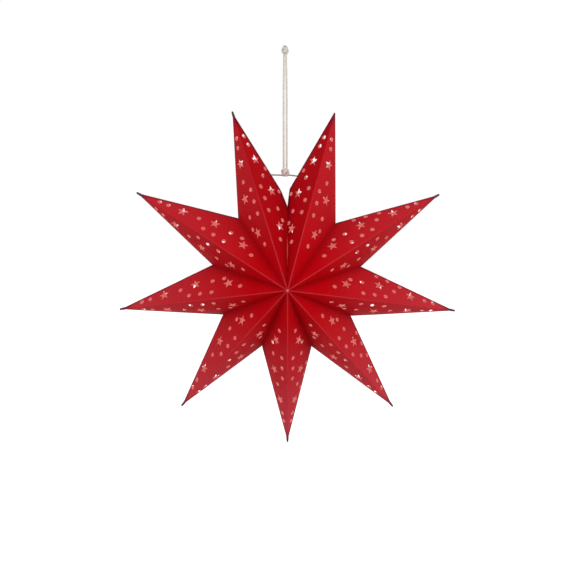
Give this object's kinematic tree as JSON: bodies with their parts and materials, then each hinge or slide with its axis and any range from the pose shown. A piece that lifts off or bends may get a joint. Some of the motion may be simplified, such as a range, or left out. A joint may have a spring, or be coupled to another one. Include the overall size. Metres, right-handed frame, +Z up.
{
  "type": "paper star lantern",
  "caption": "Folding paper star lantern with hollow pointed arms, punched dots and small stars, hanging from a wire and a knotted cord loop.",
  "frame": {"origin": "where the cord loop hangs, under the upper knot", "axes": "+Z up, +X to the right seen from the front, the front of the star faces -Y"},
  "size_m": [0.4444, 0.1546, 0.5252],
  "materials": {
    "red_paper": "matt",
    "glued_edge": "matt",
    "steel_wire": "satin",
    "cotton_cord": "twisted cotton"
  },
  "bodies": {
    "hanging_cord": {"cord_strand_left": "cotton_cord", "cord_strand_right": "cotton_cord", "upper_knot": "cotton_cord"},
    "cord_knot": {"lower_knot": "cotton_cord"},
    "point_1": {"hanger_wire": "steel_wire", "point_1_front_left": "red_paper", "point_1_back_left": "red_paper", "point_1_front_right": "red_paper", "point_1_back_right": "red_paper", "point_1_beak": "glued_edge"},
    "point_2": {"point_2_front_left": "red_paper", "point_2_back_left": "red_paper", "point_2_front_right": "red_paper", "point_2_back_right": "red_paper", "point_2_beak": "glued_edge"},
    "point_3": {"point_3_front_left": "red_paper", "point_3_back_left": "red_paper", "point_3_front_right": "red_paper", "point_3_back_right": "red_paper", "point_3_beak": "glued_edge"},
    "point_4": {"point_4_front_left": "red_paper", "point_4_back_left": "red_paper", "point_4_front_right": "red_paper", "point_4_back_right": "red_paper", "point_4_beak": "glued_edge"},
    "point_5": {"point_5_front_left": "red_paper", "point_5_back_left": "red_paper", "point_5_front_right": "red_paper", "point_5_back_right": "red_paper", "point_5_beak": "glued_edge"},
    "point_6": {"point_6_front_left": "red_paper", "point_6_back_left": "red_paper", "point_6_front_right": "red_paper", "point_6_back_right": "red_paper", "point_6_beak": "glued_edge"},
    "point_7": {"point_7_front_left": "red_paper", "point_7_back_left": "red_paper", "point_7_front_right": "red_paper", "point_7_back_right": "red_paper", "point_7_beak": "glued_edge"},
    "point_8": {"point_8_front_left": "red_paper", "point_8_back_left": "red_paper", "point_8_front_right": "red_paper", "point_8_back_right": "red_paper", "point_8_beak": "glued_edge"},
    "point_9": {"point_9_front_left": "red_paper", "point_9_back_left": "red_paper", "point_9_front_right": "red_paper", "point_9_back_right": "red_paper", "point_9_beak": "glued_edge"}
  },
  "joints": [
    {"name": "star_turn", "type": "hinge", "parent": "hanging_cord", "child": "cord_knot", "pos_m": [0, 0, -0.1522], "axis": [0, 0, 1], "range_deg": [-180, 180]},
    {"name": "star_swing", "type": "hinge", "parent": "cord_knot", "child": "point_1", "pos_m": [0, 0, -0.1522], "axis": [1, 0, 0], "range_deg": [-60, 60]},
    {"name": "fold_1_2", "type": "hinge", "parent": "point_1", "child": "point_2", "pos_m": [0.003, 0, -0.2884], "axis": [0, -1, 0], "range_deg": [0, 43.7], "deforming": ["point_1_front_left", "point_1_back_left", "point_1_front_right", "point_1_back_right", "point_2_front_left", "point_2_back_left", "point_2_front_right", "point_2_back_right"]},
    {"name": "fold_2_3", "type": "hinge", "parent": "point_2", "child": "point_3", "pos_m": [0.003, 0, -0.2884], "axis": [0, -1, 0], "range_deg": [0, 39.31], "deforming": ["point_3_front_left", "point_3_back_left", "point_3_front_right", "point_3_back_right"]},
    {"name": "fold_3_4", "type": "hinge", "parent": "point_3", "child": "point_4", "pos_m": [0.003, 0, -0.2884], "axis": [0, -1, 0], "range_deg": [0, 38.81], "deforming": ["point_4_front_left", "point_4_back_left", "point_4_front_right", "point_4_back_right"]},
    {"name": "fold_4_5", "type": "hinge", "parent": "point_4", "child": "point_5", "pos_m": [0.003, 0, -0.2884], "axis": [0, -1, 0], "range_deg": [0, 37.81], "deforming": ["point_5_front_left", "point_5_back_left", "point_5_front_right", "point_5_back_right"]},
    {"name": "fold_5_6", "type": "hinge", "parent": "point_5", "child": "point_6", "pos_m": [0.003, 0, -0.2884], "axis": [0, -1, 0], "range_deg": [0, 38.11], "deforming": ["point_6_front_left", "point_6_back_left", "point_6_front_right", "point_6_back_right"]},
    {"name": "fold_6_7", "type": "hinge", "parent": "point_6", "child": "point_7", "pos_m": [0.003, 0, -0.2884], "axis": [0, -1, 0], "range_deg": [0, 39.01], "deforming": ["point_7_front_left", "point_7_back_left", "point_7_front_right", "point_7_back_right"]},
    {"name": "fold_7_8", "type": "hinge", "parent": "point_7", "child": "point_8", "pos_m": [0.003, 0, -0.2884], "axis": [0, -1, 0], "range_deg": [0, 39.51], "deforming": ["point_8_front_left", "point_8_back_left", "point_8_front_right", "point_8_back_right"]},
    {"name": "fold_8_9", "type": "hinge", "parent": "point_8", "child": "point_9", "pos_m": [0.003, 0, -0.2884], "axis": [0, -1, 0], "range_deg": [0, 40.61], "deforming": ["point_9_front_left", "point_9_back_left", "point_9_front_right", "point_9_back_right"]}
  ],
  "couplings": [
    {"joint": "fold_2_3", "follows": "fold_1_2", "ratio": 0.89931},
    {"joint": "fold_3_4", "follows": "fold_1_2", "ratio": 0.88787},
    {"joint": "fold_4_5", "follows": "fold_1_2", "ratio": 0.86499},
    {"joint": "fold_5_6", "follows": "fold_1_2", "ratio": 0.87185},
    {"joint": "fold_6_7", "follows": "fold_1_2", "ratio": 0.89245},
    {"joint": "fold_7_8", "follows": "fold_1_2", "ratio": 0.90389},
    {"joint": "fold_8_9", "follows": "fold_1_2", "ratio": 0.92906}
  ]
}
